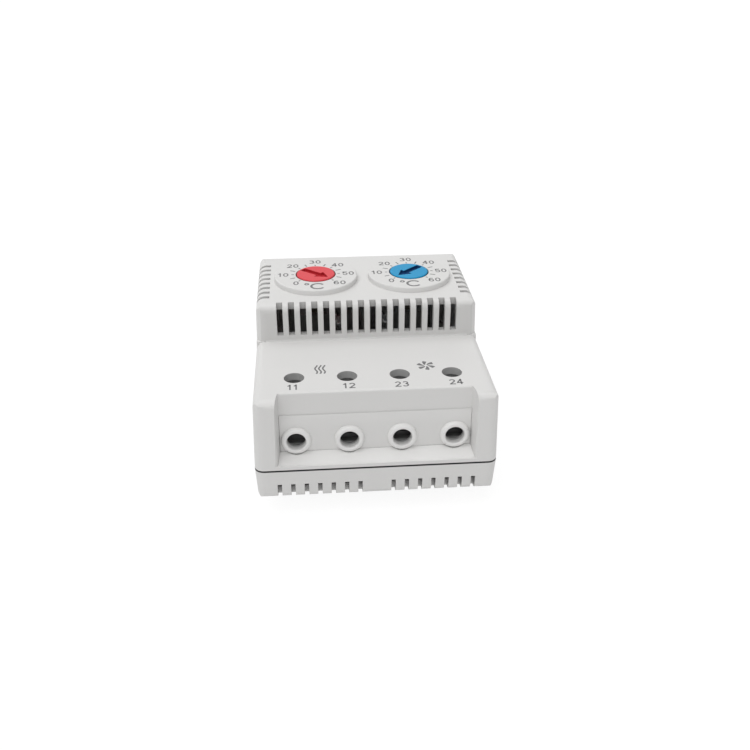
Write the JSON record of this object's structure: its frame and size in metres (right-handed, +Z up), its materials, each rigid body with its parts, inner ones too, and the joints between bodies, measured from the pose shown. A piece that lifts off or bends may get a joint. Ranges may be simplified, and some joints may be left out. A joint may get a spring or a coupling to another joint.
{
  "type": "twin rail-mount thermostat",
  "caption": "Stepped vented housing with red and blue setting dials on round scales, a row of wire collars below screw holes, and a sprung rail clip beneath.",
  "frame": {"origin": "centre of the footprint, at the level of the rail clip's lowest faces", "axes": "+Z up out of the dials' face, +Y from the wire entries towards the dials, +X to the right as seen from the wire entries"},
  "size_m": [0.0606, 0.0702, 0.0442],
  "materials": {
    "housing_plastic": "fine matt moulded surface",
    "base_plastic": "fine matt moulded surface",
    "panel_plastic": "fine matt moulded surface",
    "black_plastic": "matt, glass filled",
    "latch_plastic": "matt",
    "heating_plastic": "satin, coral red",
    "cooling_plastic": "satin, mid blue",
    "nut_plastic": "black, self-lubricating",
    "brass": "turned",
    "spring_steel": "bright wire",
    "plated_steel": "zinc plated",
    "bimetal": "rolled strip, warm tint",
    "contact_silver": "silver alloy",
    "magnet_ferrite": "sintered, dull",
    "bar_copper": "tinned copper alloy"
  },
  "bodies": {
    "housing": {"front_housing": "housing_plastic", "rear_base": "base_plastic", "wire_panel": "panel_plastic", "contact_carrier": "black_plastic", "latch_spring": "spring_steel", "heating_setting_spring": "spring_steel", "cooling_setting_spring": "spring_steel", "thrust_washers": "brass", "heating_fixed_contact": "contact_silver", "cooling_fixed_contact": "contact_silver", "heating_magnet": "magnet_ferrite", "cooling_magnet": "magnet_ferrite", "bimetal_spacers": "brass", "bimetal_rivets": "plated_steel", "calibration_screws": "plated_steel", "contact_bar_11": "bar_copper", "contact_bar_12": "bar_copper", "contact_bar_23": "bar_copper", "contact_bar_24": "bar_copper"},
    "latch": {"rail_latch": "latch_plastic"},
    "heating_knob": {"heating_dial": "heating_plastic", "heating_spindle": "brass"},
    "cooling_knob": {"cooling_dial": "cooling_plastic", "cooling_spindle": "brass"},
    "heating_nut": {"heating_setting_nut": "nut_plastic"},
    "cooling_nut": {"cooling_setting_nut": "nut_plastic"},
    "heating_strip": {"heating_bimetal": "bimetal", "heating_moving_contact": "contact_silver"},
    "cooling_strip": {"cooling_bimetal": "bimetal", "cooling_moving_contact": "contact_silver"},
    "screw_11": {"terminal_screw_11": "plated_steel"},
    "screw_12": {"terminal_screw_12": "plated_steel"},
    "screw_23": {"terminal_screw_23": "plated_steel"},
    "screw_24": {"terminal_screw_24": "plated_steel"},
    "cage_11": {"clamp_cage_11": "plated_steel"},
    "cage_12": {"clamp_cage_12": "plated_steel"},
    "cage_23": {"clamp_cage_23": "plated_steel"},
    "cage_24": {"clamp_cage_24": "plated_steel"}
  },
  "joints": [
    {"name": "heating_dial_turn", "type": "hinge", "parent": "housing", "child": "heating_knob", "pos_m": [-0.01316, 0.01605, 0.0442], "axis": [0, 0, 1], "range_deg": [-5, 267]},
    {"name": "cooling_dial_turn", "type": "hinge", "parent": "housing", "child": "cooling_knob", "pos_m": [0.01316, 0.01605, 0.0442], "axis": [0, 0, 1], "range_deg": [-269, 3]},
    {"name": "heating_nut_slide", "type": "slide", "parent": "housing", "child": "heating_nut", "axis": [0, 0, 1], "range_m": [-0.00003, 0.00148], "deforming": ["heating_setting_spring"]},
    {"name": "cooling_nut_slide", "type": "slide", "parent": "housing", "child": "cooling_nut", "axis": [0, 0, 1], "range_m": [-0.00002, 0.00149], "deforming": ["cooling_setting_spring"]},
    {"name": "heating_strip_bend", "type": "hinge", "parent": "housing", "child": "heating_strip", "pos_m": [-0.01316, 0.02645, 0.024], "axis": [-1, 0, 0], "range_deg": [0, 2.6], "stiffness_Nm_per_rad": 0.02, "springref_deg": -0.57, "deforming": ["heating_setting_spring"]},
    {"name": "cooling_strip_bend", "type": "hinge", "parent": "housing", "child": "cooling_strip", "pos_m": [0.01316, 0.02645, 0.024], "axis": [-1, 0, 0], "range_deg": [-2.6, 0], "stiffness_Nm_per_rad": 0.02, "springref_deg": 0.57, "deforming": ["cooling_setting_spring"]},
    {"name": "rail_latch_slide", "type": "slide", "parent": "housing", "child": "latch", "axis": [0, 1, 0], "range_m": [-0.003, 0], "stiffness_N_per_m": 400, "springref_m": 0.0005, "deforming": ["latch_spring"]},
    {"name": "screw_11_turn", "type": "hinge", "parent": "housing", "child": "screw_11", "pos_m": [-0.01977, -0.0227, 0.0272], "axis": [0, 0, 1], "range_deg": [-2232.5, 0]},
    {"name": "screw_12_turn", "type": "hinge", "parent": "housing", "child": "screw_12", "pos_m": [-0.00659, -0.0227, 0.0272], "axis": [0, 0, 1], "range_deg": [-2232.5, 0]},
    {"name": "screw_23_turn", "type": "hinge", "parent": "housing", "child": "screw_23", "pos_m": [0.00659, -0.0227, 0.0272], "axis": [0, 0, 1], "range_deg": [-2232.5, 0]},
    {"name": "screw_24_turn", "type": "hinge", "parent": "housing", "child": "screw_24", "pos_m": [0.01977, -0.0227, 0.0272], "axis": [0, 0, 1], "range_deg": [-2232.5, 0]},
    {"name": "cage_11_lift", "type": "slide", "parent": "housing", "child": "cage_11", "axis": [0, 0, 1], "range_m": [0, 0.0031]},
    {"name": "cage_12_lift", "type": "slide", "parent": "housing", "child": "cage_12", "axis": [0, 0, 1], "range_m": [0, 0.0031]},
    {"name": "cage_23_lift", "type": "slide", "parent": "housing", "child": "cage_23", "axis": [0, 0, 1], "range_m": [0, 0.0031]},
    {"name": "cage_24_lift", "type": "slide", "parent": "housing", "child": "cage_24", "axis": [0, 0, 1], "range_m": [0, 0.0031]}
  ],
  "couplings": [
    {"joint": "heating_dial_turn", "follows": "heating_nut_slide", "rad_per_m": 3141.6},
    {"joint": "cooling_dial_turn", "follows": "cooling_nut_slide", "rad_per_m": -3141.6},
    {"joint": "screw_11_turn", "follows": "cage_11_lift", "rad_per_m": -12566},
    {"joint": "screw_12_turn", "follows": "cage_12_lift", "rad_per_m": -12566},
    {"joint": "screw_23_turn", "follows": "cage_23_lift", "rad_per_m": -12566},
    {"joint": "screw_24_turn", "follows": "cage_24_lift", "rad_per_m": -12566}
  ]
}
